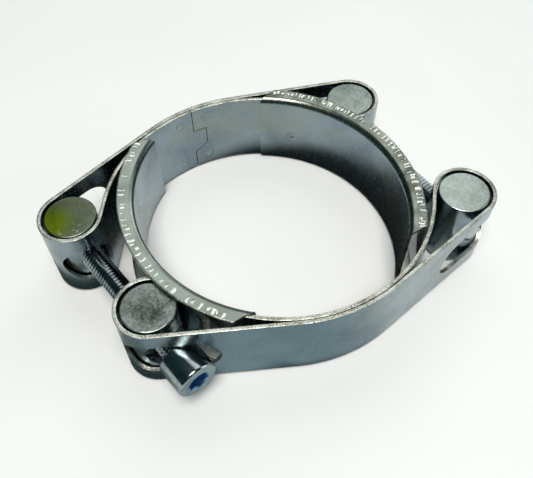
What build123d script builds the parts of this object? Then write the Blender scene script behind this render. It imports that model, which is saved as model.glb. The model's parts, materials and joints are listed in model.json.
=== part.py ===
from build123d import *

import os
from math import acos, atan2, cos, degrees, hypot, radians, sin

# Two-bolt pipe repair clamp: two folded band halves, two bridges, four pins, two cap screws.
#
# Millimetres, +Z along the pipe. The origin is the ring axis of the front half, on the plane that
# the clamp rests on. A half is drawn once, with its band over +Y and its bridge on +X. The front
# half is that drawing turned half round; the rear half is turned and shifted a little, because
# the clamp is slack and its screws are unevenly open.

# --- ring and strip -------------------------------------------------------------------------
RING_RADIUS = 39.5          # inner face of a band half
STRIP_THICKNESS = 1.0
STRIP_WIDTH = 22.5
LAYER_GAP = 0.1             # between the two layers of one band
PIN_ANGLE = 26.2            # of a pin above the line that parts the halves, degrees

# --- pins -----------------------------------------------------------------------------------
PIN_DIAMETER = 13.5
PIN_PLAY = 0.5              # between a pin and the inside of its loop
PIN_END_GAP = 0.3           # a pin is this much shorter than the strip at each end
PIN_EDGE = 0.45             # rounding of a pin's rims
LEG_SLACK = 0.42            # how far a loop stands off the inner layer of the ring

# --- bridges --------------------------------------------------------------------------------
BRIDGE_THICKNESS = 0.9
BRIDGE_GAP = 0.1            # between a bridge's wall and the band's inner face
EDGE_CLEARANCE = 0.15       # between a bridge's flange and the strip's edge
FLANGE_REACH = 4.5          # from the inside of a bridge to the rim of its flange
BEND_RADIUS = 0.4           # inside radius where the wall turns into a flange
BRIDGE_START = -46.0        # the free end, degrees
BRIDGE_END = 59.5           # the end that is welded to the band
END_SLANT = 6.0             # the flange is cut back by this angle at each end

# --- openings in the strip at each loop -----------------------------------------------------
WINDOW_HEIGHT = 12.4        # of both openings, along Z
ENTRY_LEAN = 3.0            # of the round opening, away from straight down
EXIT_START = 62.0           # centre of the long opening's first round end, on the loop
EXIT_LENGTH = 9.8           # from the loop to the centre of its second round end

# --- screws ---------------------------------------------------------------------------------
THREAD_DIAMETER = 5.95
THREAD_CLEARANCE = 0.05     # radial, in a barrel's threaded hole
HEAD_DIAMETER = 10.6
HEAD_HEIGHT = 8.4
HEAD_EDGE = 0.6
SOCKET_FLATS = 5.0
SOCKET_DEPTH = 4.2
POINT_CHAMFER = 0.8
SCREW_LENGTH = 55.0         # under the head
LEFT_HEAD_STANDOFF = 9.5    # from its plain pin's axis to the underside of the unseated head
SHANK_CLEARANCE = 0.35      # radial, in a plain pin's hole
SEAT_CLEARANCE = 0.35       # radial, round the head in a plain pin's counterbore
SEAT_DEPTH = 3.4
SEAT_GAP = 0.02             # under the right screw's head, which is on its seat

# --- seams and spot welds -------------------------------------------------------------------
SEAM_ANGLE = 89.6
SEAM_TAB = 5.8              # width of the interlocking tab, degrees
SEAM_GAP = 0.25
TAB_TOP = 14.6              # heights above the strip's lower edge
TAB_SIDE = 8.6
TAB_FOOT = 6.1
SPOT_DIAMETER = 2.5
SPOT_FROM_EDGE = 3.6
SPOT_SPREAD = 6.0           # either side of the seam's middle, degrees
BRIDGE_SPOT_DIAMETER = 3.4
BRIDGE_SPOT_ANGLE = 45.0
BRIDGE_SPOT_HEIGHT = 9.5    # above the strip's lower edge
LEFT_BRIDGE_TURN = -2.3     # the left bridge is welded on this far round from the right one's place
SPOT_CLEARANCE = 0.08       # radial, round a spot weld

# --- how the slack clamp lies ---------------------------------------------------------------
REAR_TURN = 6.75            # of the rear half, degrees
REAR_SHIFT_X = -8.2
REAR_SHIFT_Y = -4.0

# --- worked out from the sizes above --------------------------------------------------------
STRIP_BOTTOM = BRIDGE_THICKNESS + EDGE_CLEARANCE
STRIP_TOP = STRIP_BOTTOM + STRIP_WIDTH
MID_HEIGHT = (STRIP_BOTTOM + STRIP_TOP) / 2
BRIDGE_HEIGHT = STRIP_TOP + EDGE_CLEARANCE + BRIDGE_THICKNESS
INNER_LAYER = RING_RADIUS + STRIP_THICKNESS / 2
OUTER_LAYER = INNER_LAYER + STRIP_THICKNESS + LAYER_GAP
LOOP_RADIUS = PIN_DIAMETER / 2 + PIN_PLAY + STRIP_THICKNESS / 2
PIN_REACH = INNER_LAYER + LOOP_RADIUS + LEG_SLACK
PIN_LENGTH = STRIP_WIDTH - 2 * PIN_END_GAP
BRIDGE_OUTER = RING_RADIUS - BRIDGE_GAP
BRIDGE_INNER = BRIDGE_OUTER - BRIDGE_THICKNESS
FLANGE_RADIUS = BRIDGE_INNER + FLANGE_REACH
INNER_LEG_ANGLE = PIN_ANGLE + degrees(acos((INNER_LAYER + LOOP_RADIUS) / PIN_REACH))
OUTER_LEG_ANGLE = PIN_ANGLE + degrees(acos((OUTER_LAYER - LOOP_RADIUS) / PIN_REACH))
CUT = 2 * STRIP_THICKNESS   # how far a cutter passes a face


def polar(radius, angle):
    """Point at a radius and an angle in degrees."""
    return Vector(radius * cos(radians(angle)), radius * sin(radians(angle)))


def turned(point, angle):
    """Point turned about the origin by an angle in degrees."""
    return Vector(
        point.X * cos(radians(angle)) - point.Y * sin(radians(angle)),
        point.X * sin(radians(angle)) + point.Y * cos(radians(angle)),
    )


def mirrored(point):
    """Point on the other side of the half's middle."""
    return Vector(-point.X, point.Y)


LOOP_CENTRE = polar(PIN_REACH, PIN_ANGLE)
REAR_SHIFT = Vector(REAR_SHIFT_X, REAR_SHIFT_Y)
REAR_PLACE = Pos(REAR_SHIFT_X, REAR_SHIFT_Y, 0) * Rot(0, 0, REAR_TURN)
FRONT_PLACE = Rot(0, 0, 180)
FRONT_PLAIN = turned(LOOP_CENTRE, 180)
FRONT_BARREL = turned(mirrored(LOOP_CENTRE), 180)
REAR_PLAIN = REAR_SHIFT + turned(LOOP_CENTRE, REAR_TURN)
REAR_BARREL = REAR_SHIFT + turned(mirrored(LOOP_CENTRE), REAR_TURN)


def span(plain, barrel):
    """Distance between the two pins of one screw."""
    return hypot(barrel.X - plain.X, barrel.Y - plain.Y)


def heading(plain, barrel):
    """Direction from a plain pin to its barrel, in degrees."""
    return degrees(atan2(barrel.Y - plain.Y, barrel.X - plain.X))


LEFT_HEADING = heading(FRONT_PLAIN, REAR_BARREL)
RIGHT_HEADING = heading(REAR_PLAIN, FRONT_BARREL)
RIGHT_HEAD_STANDOFF = PIN_DIAMETER / 2 - SEAT_DEPTH + SEAT_GAP


def strip_edge(offset):
    """Closed outline of the folded strip, a given distance outside its middle line."""
    inner = INNER_LAYER - offset
    loop = LOOP_RADIUS + offset
    outer = OUTER_LAYER + offset
    leaves_ring = polar(inner, INNER_LEG_ANGLE)
    meets_loop = LOOP_CENTRE - polar(loop, INNER_LEG_ANGLE)
    loop_middle = LOOP_CENTRE + polar(loop, (INNER_LEG_ANGLE + OUTER_LEG_ANGLE) / 2 - 90)
    leaves_loop = LOOP_CENTRE + polar(loop, OUTER_LEG_ANGLE)
    meets_ring = polar(outer, OUTER_LEG_ANGLE)
    right = [
        Line(leaves_ring, meets_loop),
        ThreePointArc(meets_loop, loop_middle, leaves_loop),
        Line(leaves_loop, meets_ring),
    ]
    left = [
        Line(mirrored(leaves_ring), mirrored(meets_loop)),
        ThreePointArc(mirrored(meets_loop), mirrored(loop_middle), mirrored(leaves_loop)),
        Line(mirrored(leaves_loop), mirrored(meets_ring)),
    ]
    arcs = [
        ThreePointArc(mirrored(leaves_ring), Vector(0, inner), leaves_ring),
        ThreePointArc(mirrored(meets_ring), Vector(0, outer), meets_ring),
    ]
    return make_face(Wire([piece.edge() for piece in right + left + arcs]))


def radial_bar(diameter, radius_from, radius_to, angle, height):
    """Round bar along a radius of the ring."""
    bar = Pos((radius_from + radius_to) / 2, 0, height) * Rot(0, 90, 0)
    return Rot(0, 0, angle) * bar * Cylinder(diameter / 2, radius_to - radius_from)


def tube(inner, outer, bottom, top):
    """Plain ring about the Z axis."""
    ring = Cylinder(outer, top - bottom) - Cylinder(inner, top - bottom + CUT)
    return Pos(0, 0, (top + bottom) / 2) * ring


def entry_window():
    """Round opening where a screw enters the loop from the other half."""
    reach = LOOP_RADIUS + CUT
    bar = Pos(reach / 2, 0, MID_HEIGHT) * Rot(0, 90, 0) * Cylinder(WINDOW_HEIGHT / 2, reach)
    return Pos(LOOP_CENTRE.X, LOOP_CENTRE.Y, 0) * Rot(0, 0, 270 + ENTRY_LEAN) * bar


def exit_window():
    """Long opening from the loop along the outer leg, for a head or a screw's point."""
    reach = LOOP_RADIUS + CUT
    round_end = Pos(reach / 2, 0, MID_HEIGHT) * Rot(0, 90, 0) * Cylinder(WINDOW_HEIGHT / 2, reach)
    side = Plane.XZ.location * (Pos(reach / 2, MID_HEIGHT) * Rectangle(reach, WINDOW_HEIGHT))
    on_loop = round_end + revolve(side, Axis.Z, OUTER_LEG_ANGLE - EXIT_START)
    straight = Pos(reach / 2, EXIT_LENGTH / 2, MID_HEIGHT) * Box(reach, EXIT_LENGTH, WINDOW_HEIGHT)
    on_leg = straight + Pos(0, EXIT_LENGTH, 0) * round_end
    cutter = Rot(0, 0, EXIT_START) * on_loop + Rot(0, 0, OUTER_LEG_ANGLE) * on_leg
    return Pos(LOOP_CENTRE.X, LOOP_CENTRE.Y, 0) * cutter


def seam_slit():
    """Thin stepped slit that parts the two ends of the strip in the inner layer."""
    step = INNER_LAYER * sin(radians(SEAM_TAB))
    path = Polyline(
        (0, STRIP_WIDTH + CUT),
        (0, TAB_TOP),
        (-step, TAB_TOP),
        (-step, TAB_SIDE),
        (0, TAB_FOOT),
        (0, -CUT),
    )
    slit = extrude(trace(path, SEAM_GAP), RING_RADIUS / 4, both=True)
    upright = Plane(origin=(RING_RADIUS, 0, STRIP_BOTTOM), x_dir=(0, 1, 0), z_dir=(1, 0, 0))
    layer = tube(RING_RADIUS - CUT, RING_RADIUS + STRIP_THICKNESS + LAYER_GAP / 2, -CUT, STRIP_TOP + CUT)
    return Rot(0, 0, SEAM_ANGLE) * ((upright.location * slit) & layer)


def spot_places():
    """Angle and height of each spot weld beside the seam."""
    middle = SEAM_ANGLE
    heights = (STRIP_BOTTOM + SPOT_FROM_EDGE, STRIP_TOP - SPOT_FROM_EDGE)
    return [(middle + side * SPOT_SPREAD, height) for side in (-1, 1) for height in heights]


def band():
    """One strip, folded back round both pins and closed at the seam."""
    half = STRIP_THICKNESS / 2
    flat = strip_edge(half) - strip_edge(-half)
    strip = Pos(0, 0, STRIP_BOTTOM) * extrude(flat, STRIP_WIDTH)
    for window in (entry_window(), exit_window()):
        strip = strip - window - mirror(window, Plane.YZ)
    strip = strip - seam_slit()
    for angle, height in spot_places():
        hole = SPOT_DIAMETER + 2 * SPOT_CLEARANCE
        strip = strip - radial_bar(hole, RING_RADIUS - CUT, OUTER_LAYER - half, angle, height)
    return strip


def seam_welds():
    """Four spot welds that hold the strip's two ends to its outer layer."""
    inside = tube(RING_RADIUS, OUTER_LAYER - STRIP_THICKNESS / 2, 0, BRIDGE_HEIGHT)
    bars = [
        radial_bar(SPOT_DIAMETER, RING_RADIUS - CUT, OUTER_LAYER + CUT, angle, height)
        for angle, height in spot_places()
    ]
    return Compound([(bar & inside).solid() for bar in bars])


def channel_profile():
    """Section of a bridge: a wall with a flange turned outwards at top and bottom."""
    corner = BEND_RADIUS + BRIDGE_THICKNESS
    outline = Pos(BRIDGE_INNER + FLANGE_REACH / 2, BRIDGE_HEIGHT / 2) * Rectangle(FLANGE_REACH, BRIDGE_HEIGHT)
    outline = fillet(outline.vertices().sort_by(Axis.X)[:2], corner)
    hollow_reach = FLANGE_REACH
    hollow_height = BRIDGE_HEIGHT - 2 * BRIDGE_THICKNESS
    hollow = Pos(BRIDGE_OUTER + hollow_reach / 2, BRIDGE_HEIGHT / 2) * Rectangle(hollow_reach, hollow_height)
    hollow = fillet(hollow.vertices().sort_by(Axis.X)[:2], BEND_RADIUS)
    rim = BRIDGE_THICKNESS * 0.3
    section = outline - hollow
    return fillet(section.vertices().sort_by(Axis.X)[-4:], rim)


def slanted_cut(angle, slant):
    """Block whose face runs from the inner corner of a bridge's end to its cut-back rim."""
    inner = polar(BRIDGE_INNER, angle)
    rim = polar(FLANGE_RADIUS, angle - slant)
    direction = degrees(atan2(rim.Y - inner.Y, rim.X - inner.X))
    side = 1 if slant > 0 else -1
    size = 6 * FLANGE_REACH
    block = Pos(0, side * size / 2, BRIDGE_HEIGHT / 2) * Box(2 * size, size, 2 * BRIDGE_HEIGHT)
    return Pos(inner.X, inner.Y, 0) * Rot(0, 0, direction) * block


def bridge():
    """Curved channel that spans the gap between the halves on one side."""
    section = Plane.XZ.location * channel_profile()
    channel = revolve(section, Axis.Z, BRIDGE_END - BRIDGE_START)
    channel = Rot(0, 0, BRIDGE_START) * channel
    channel = channel - slanted_cut(BRIDGE_END, END_SLANT) - slanted_cut(BRIDGE_START, -END_SLANT)
    height = STRIP_BOTTOM + BRIDGE_SPOT_HEIGHT
    hole = BRIDGE_SPOT_DIAMETER + 2 * SPOT_CLEARANCE
    return channel - radial_bar(hole, BRIDGE_INNER - CUT, RING_RADIUS + CUT, BRIDGE_SPOT_ANGLE, height)


def bridge_weld():
    """Spot weld, with the dimple of its electrode, that holds a bridge to its band."""
    height = STRIP_BOTTOM + BRIDGE_SPOT_HEIGHT
    inside = tube(BRIDGE_INNER, RING_RADIUS, 0, BRIDGE_HEIGHT)
    bar = radial_bar(BRIDGE_SPOT_DIAMETER, BRIDGE_INNER - CUT, RING_RADIUS + CUT, BRIDGE_SPOT_ANGLE, height)
    dimple_depth = BRIDGE_THICKNESS / 3
    dimple = radial_bar(
        BRIDGE_SPOT_DIAMETER / 4,
        BRIDGE_INNER - CUT,
        BRIDGE_INNER + dimple_depth,
        BRIDGE_SPOT_ANGLE,
        height,
    )
    return (bar & inside) - dimple


def pin_blank():
    """Round pin with rounded rims, standing at the middle height of the strip."""
    rod = Cylinder(PIN_DIAMETER / 2, PIN_LENGTH)
    rims = rod.edges().filter_by(GeomType.CIRCLE)
    return Pos(0, 0, MID_HEIGHT) * fillet(rims, PIN_EDGE)


def cross_hole(diameter, start, end):
    """Hole through a pin along its own X axis."""
    return Pos((start + end) / 2, 0, MID_HEIGHT) * Rot(0, 90, 0) * Cylinder(diameter / 2, end - start)


def plain_pin():
    """Pin that a screw passes through, with a seat for the head on its -X side."""
    half = PIN_DIAMETER / 2
    through = cross_hole(THREAD_DIAMETER + 2 * SHANK_CLEARANCE, -half - CUT, half + CUT)
    seat = cross_hole(HEAD_DIAMETER + 2 * SEAT_CLEARANCE, -half - CUT, -half + SEAT_DEPTH)
    return pin_blank() - through - seat


def barrel_pin():
    """Pin that a screw is threaded into."""
    half = PIN_DIAMETER / 2
    return pin_blank() - cross_hole(THREAD_DIAMETER + 2 * THREAD_CLEARANCE, -half - CUT, half + CUT)


def screw():
    """Socket head cap screw along +X, with the underside of its head at X = 0."""
    shank = Cylinder(THREAD_DIAMETER / 2, SCREW_LENGTH + HEAD_HEIGHT / 2)
    shank = chamfer(shank.edges().filter_by(GeomType.CIRCLE).sort_by(Axis.Z)[-1], POINT_CHAMFER)
    shank = Pos(0, 0, (SCREW_LENGTH - HEAD_HEIGHT / 2) / 2) * shank
    head = Cylinder(HEAD_DIAMETER / 2, HEAD_HEIGHT)
    head = fillet(head.edges().filter_by(GeomType.CIRCLE).sort_by(Axis.Z)[0], HEAD_EDGE)
    head = Pos(0, 0, -HEAD_HEIGHT / 2) * head
    flats = RegularPolygon(SOCKET_FLATS / 2, 6, major_radius=False)
    socket = Pos(0, 0, -HEAD_HEIGHT) * extrude(flats, SOCKET_DEPTH)
    cone_height = SOCKET_FLATS / 6
    cone = Pos(0, 0, SOCKET_DEPTH - HEAD_HEIGHT + cone_height / 2)
    socket = socket + cone * Cone(SOCKET_FLATS / 2 - 0.05, SOCKET_FLATS / 12, cone_height)
    lead_in = Pos(0, 0, -HEAD_HEIGHT) * Cone(SOCKET_FLATS * 0.62, SOCKET_FLATS * 0.5, SOCKET_FLATS * 0.12)
    body = head + shank - socket - lead_in
    return Rot(0, 90, 0) * body


def on_pin(shape, centre, direction):
    """Shape moved to a pin's axis and turned along its screw."""
    return Pos(centre.X, centre.Y, 0) * Rot(0, 0, direction) * shape


def placed_screw(centre, direction, standoff):
    """Screw through a plain pin, its head a given distance short of the pin's axis."""
    return on_pin(Pos(-standoff, 0, MID_HEIGHT) * screw(), centre, direction)


def parts():
    """Every separate piece of the clamp, by its node's name."""
    nodes = {}
    for side, place in (("front", FRONT_PLACE), ("rear", REAR_PLACE)):
        nodes[f"band_{side}"] = place * band()
        nodes[f"seam_welds_{side}"] = place * seam_welds()
    for side, place in (("left", FRONT_PLACE * Rot(0, 0, LEFT_BRIDGE_TURN)), ("right", REAR_PLACE)):
        nodes[f"bridge_{side}"] = place * bridge()
        nodes[f"bridge_weld_{side}"] = place * bridge_weld()
    nodes["plain_pin_left"] = on_pin(plain_pin(), FRONT_PLAIN, LEFT_HEADING)
    nodes["barrel_pin_left"] = on_pin(barrel_pin(), REAR_BARREL, LEFT_HEADING)
    nodes["screw_left"] = placed_screw(FRONT_PLAIN, LEFT_HEADING, LEFT_HEAD_STANDOFF)
    nodes["plain_pin_right"] = on_pin(plain_pin(), REAR_PLAIN, RIGHT_HEADING)
    nodes["barrel_pin_right"] = on_pin(barrel_pin(), FRONT_BARREL, RIGHT_HEADING)
    nodes["screw_right"] = placed_screw(REAR_PLAIN, RIGHT_HEADING, RIGHT_HEAD_STANDOFF)
    return nodes


os.makedirs("parts", exist_ok=True)
for node, shape in parts().items():
    export_step(shape, f"parts/{node}.step")
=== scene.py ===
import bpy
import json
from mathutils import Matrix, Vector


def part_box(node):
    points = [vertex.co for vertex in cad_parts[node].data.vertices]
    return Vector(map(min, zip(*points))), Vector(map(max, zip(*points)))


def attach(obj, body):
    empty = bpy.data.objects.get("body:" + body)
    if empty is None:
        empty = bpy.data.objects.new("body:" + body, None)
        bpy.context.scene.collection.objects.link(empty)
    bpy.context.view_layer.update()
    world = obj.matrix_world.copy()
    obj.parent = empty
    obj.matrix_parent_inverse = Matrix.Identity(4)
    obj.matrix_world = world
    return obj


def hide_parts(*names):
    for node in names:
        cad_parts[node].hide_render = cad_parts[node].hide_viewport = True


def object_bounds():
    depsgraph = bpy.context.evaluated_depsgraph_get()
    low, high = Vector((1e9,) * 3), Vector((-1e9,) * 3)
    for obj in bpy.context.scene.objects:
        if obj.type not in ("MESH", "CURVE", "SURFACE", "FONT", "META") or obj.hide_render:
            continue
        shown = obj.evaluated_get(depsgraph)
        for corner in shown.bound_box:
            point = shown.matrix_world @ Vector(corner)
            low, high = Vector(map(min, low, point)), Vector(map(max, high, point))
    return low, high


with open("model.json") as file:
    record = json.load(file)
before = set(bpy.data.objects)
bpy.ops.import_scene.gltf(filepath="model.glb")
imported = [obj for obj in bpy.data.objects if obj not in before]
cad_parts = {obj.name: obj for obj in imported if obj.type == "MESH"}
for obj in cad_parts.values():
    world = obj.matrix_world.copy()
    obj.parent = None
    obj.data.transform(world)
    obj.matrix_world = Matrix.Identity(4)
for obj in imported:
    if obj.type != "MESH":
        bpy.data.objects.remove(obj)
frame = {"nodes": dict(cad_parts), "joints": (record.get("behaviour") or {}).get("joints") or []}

"""Looks of a two-screw pipe repair clamp, folded from zinc-plated strip.

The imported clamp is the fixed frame. Bands, bridges, pins and screws get finished pieces with
rounded sheet edges, press marks, real threads and sockets; the spot welds keep their nodes and
get a finish. Everything is in metres, in the clamp's own frame.
"""
import json
import logging
import math
import random
from dataclasses import dataclass, field
from enum import Enum, IntEnum
from typing import Any, Optional, Sequence

import bmesh
import bpy
from bmesh.types import BMEdge, BMesh, BMFace, BMVert
from bpy.types import Material, Node, NodeSocket, NodeTree, Object
from mathutils import Matrix, Vector, noise

MM = 0.001
SAME_PLACE = 1e-6
ON_PLANE = 1e-7
CAD_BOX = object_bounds()
LOG = logging.getLogger("clamp")


# --- small helpers ---------------------------------------------------------------------------


def linear(hex_colour: str) -> tuple[float, float, float, float]:
    """Turn an sRGB colour into the linear one that shaders read.

    Args:
        hex_colour: Six hex digits, with or without a leading hash.

    Returns:
        Linear red, green, blue and an alpha of 1.
    """
    digits = hex_colour.lstrip("#")
    parts = [int(digits[i : i + 2], 16) / 255 for i in (0, 2, 4)]
    r, g, b = (p / 12.92 if p <= 0.04045 else ((p + 0.055) / 1.055) ** 2.4 for p in parts)
    return (r, g, b, 1.0)


def add_node(
    tree: NodeTree,
    kind: str,
    settings: Optional[dict[str, Any]] = None,
    values: Optional[dict[Any, Any]] = None,
    links: Optional[dict[Any, Any]] = None,
) -> Node:
    """Add one node to a tree, set it up and link its inputs.

    Args:
        tree: The tree it joins.
        kind: The node's type name, without the ShaderNode prefix.
        settings: The node's own properties.
        values: Input socket, by name or number, to its value.
        links: Input socket, by name or number, to the output socket that feeds it.

    Returns:
        The new node.
    """
    made = tree.nodes.new("ShaderNode" + kind)
    for key, value in (settings or {}).items():
        setattr(made, key, value)
    for key, value in (values or {}).items():
        made.inputs[key].default_value = value
    for key, source in (links or {}).items():
        tree.links.new(source, made.inputs[key])
    return made


def ramp(tree: NodeTree, source: NodeSocket, stops: Sequence[tuple[float, Any]]) -> NodeSocket:
    """Map a value through a colour ramp.

    Args:
        tree: The tree that the ramp joins.
        source: The value to map.
        stops: Position and colour of each stop; a plain number stands for a grey.

    Returns:
        The ramp's colour output.
    """
    made = add_node(tree, "ValToRGB", links={0: source})
    elements = made.color_ramp.elements
    while len(elements) < len(stops):
        elements.new(0.5)
    for element, (place, colour) in zip(elements, stops):
        element.position = place
        element.color = (colour, colour, colour, 1) if isinstance(colour, float) else colour
    return made.outputs[0]


def blend_colours(
    tree: NodeTree,
    share: Any,
    first: Any,
    second: Any,
    mode: str = "MIX",
) -> NodeSocket:
    """Mix two colours.

    Args:
        tree: The tree that the mix joins.
        share: How much of the second colour, a number or a socket.
        first: Colour or socket.
        second: Colour or socket.
        mode: Blender's blend type.

    Returns:
        The mixed colour's socket.
    """
    made = add_node(tree, "Mix", {"data_type": "RGBA", "blend_type": mode})
    for place, value in ((0, share), (6, first), (7, second)):
        if isinstance(value, NodeSocket):
            tree.links.new(value, made.inputs[place])
        else:
            made.inputs[place].default_value = value
    return made.outputs[2]


def arithmetic(tree: NodeTree, operation: str, *terms: Any) -> NodeSocket:
    """Work out one number from others.

    Args:
        tree: The tree that the sum joins.
        operation: Blender's name of the operation.
        *terms: Numbers or sockets, in order.

    Returns:
        The result's socket.
    """
    made = add_node(tree, "Math", {"operation": operation})
    for place, value in enumerate(terms):
        if isinstance(value, NodeSocket):
            tree.links.new(value, made.inputs[place])
        else:
            made.inputs[place].default_value = value
    return made.outputs[0]


def fresh_material(name: str) -> tuple[Material, NodeTree]:
    """Make an empty node material.

    Args:
        name: The real material and how its surface was made.

    Returns:
        The material and its node tree.
    """
    made = bpy.data.materials.new(name)
    made.use_nodes = True
    made.node_tree.nodes.clear()
    return made, made.node_tree


def object_points(
    tree: NodeTree,
    centre: Vector = Vector((0, 0, 0)),
    turn: float = 0.0,
) -> NodeSocket:
    """Object coordinates, centred and turned on a piece.

    Args:
        tree: The tree that the nodes join.
        centre: The point that becomes the pattern's origin, in metres.
        turn: Turn of the pattern about Z, in radians.

    Returns:
        The coordinates' socket.
    """
    source = add_node(tree, "TexCoord").outputs["Object"]
    settings = {"vector_type": "TEXTURE"}
    values = {"Location": centre, "Rotation": (0, 0, turn)}
    return add_node(tree, "Mapping", settings, values, {"Vector": source}).outputs[0]


def speckle(
    tree: NodeTree,
    points: NodeSocket,
    size: float,
    detail: float = 3.0,
    rough: float = 0.55,
    distortion: float = 0.0,
) -> NodeSocket:
    """Noise whose blotches are a given size across.

    Args:
        tree: The tree that the noise joins.
        points: Coordinates in metres.
        size: Size of a blotch in metres.
        detail: Octaves of finer noise.
        rough: Strength of the finer octaves.
        distortion: How far the blotches are pulled out of shape.

    Returns:
        The noise's value socket, about 0.5 on average.
    """
    values = {"Scale": 1 / size, "Detail": detail, "Roughness": rough, "Distortion": distortion}
    return add_node(tree, "TexNoise", values=values, links={"Vector": points}).outputs[0]


def remap(
    tree: NodeTree,
    value: NodeSocket,
    source: tuple[float, float],
    target: tuple[float, float],
    smooth: bool = False,
) -> NodeSocket:
    """Carry a value from one span to another, held at both ends.

    Args:
        tree: The tree that the node joins.
        value: The value.
        source: The span that it comes from.
        target: The span that it goes to.
        smooth: Whether to ease in and out of the ends.

    Returns:
        The new value's socket.
    """
    settings = {"interpolation_type": "SMOOTHSTEP"} if smooth else None
    spans = dict(zip(("From Min", "From Max", "To Min", "To Max"), (*source, *target)))
    return add_node(tree, "MapRange", settings, spans, {"Value": value}).outputs[0]


def weighed(tree: NodeTree, first: NodeSocket, second: NodeSocket, share: float) -> NodeSocket:
    """Add two values, the first by its share and the second by the rest."""
    parts = ((first, share), (second, 1 - share))
    return arithmetic(
        tree, "ADD", *(arithmetic(tree, "MULTIPLY", value, weight) for value, weight in parts)
    )


def two_tone(
    tree: NodeTree,
    share: NodeSocket,
    stops: Sequence[tuple[float, float]],
    light: str,
    shade: str,
) -> NodeSocket:
    """Mix two sRGB colours by a value that first goes through a ramp."""
    return blend_colours(tree, ramp(tree, share, stops), linear(light), linear(shade))


def bump(
    tree: NodeTree,
    height: NodeSocket,
    strength: float,
    distance: float,
    under: Optional[NodeSocket] = None,
) -> NodeSocket:
    """Turn a height into a normal, on top of another one if it is given."""
    links = {"Height": height} if under is None else {"Height": height, "Normal": under}
    values = {"Strength": strength, "Distance": distance}
    return add_node(tree, "Bump", values=values, links=links).outputs[0]


def distance(tree: NodeTree, points: NodeSocket) -> NodeSocket:
    """Distance of each point from the pattern's origin."""
    return add_node(tree, "VectorMath", {"operation": "LENGTH"}, links={0: points}).outputs["Value"]


# --- finishes --------------------------------------------------------------------------------


class Tone(Enum):
    """Main colours of the plating, as sRGB hex."""

    BLUE_STEEL = "#8C9BA2"
    COOL_SHADE = "#788790"
    OLIVE = "#8A9183"
    WARM_EDGE = "#E4E4DA"
    DULL_EDGE = "#85857A"
    GRIME = "#2B2F2E"
    BAR_END = "#B4BAB6"
    BAR_SHADE = "#7A827E"
    FILM_OLIVE = "#4D5433"
    FILM_GREEN = "#66780A"
    FILM_FLECK = "#D5DCC4"


@dataclass(frozen=True)
class Finish:
    """Surface of a real material, made by a real process.

    Attributes:
        name: Name of the material.
    """

    name: str

    def build(self) -> Material:
        """Make the material.

        Returns:
            The material.
        """
        made, tree = fresh_material(self.name)
        values, links = self._look(tree)
        shader = add_node(tree, "BsdfPrincipled", values=values, links=links)
        add_node(tree, "OutputMaterial", links={"Surface": shader.outputs[0]})
        return made

    def _look(self, tree: NodeTree) -> tuple[dict[str, float], dict[str, NodeSocket]]:
        """Fixed values and linked sockets of the surface's shader."""
        raise NotImplementedError


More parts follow.
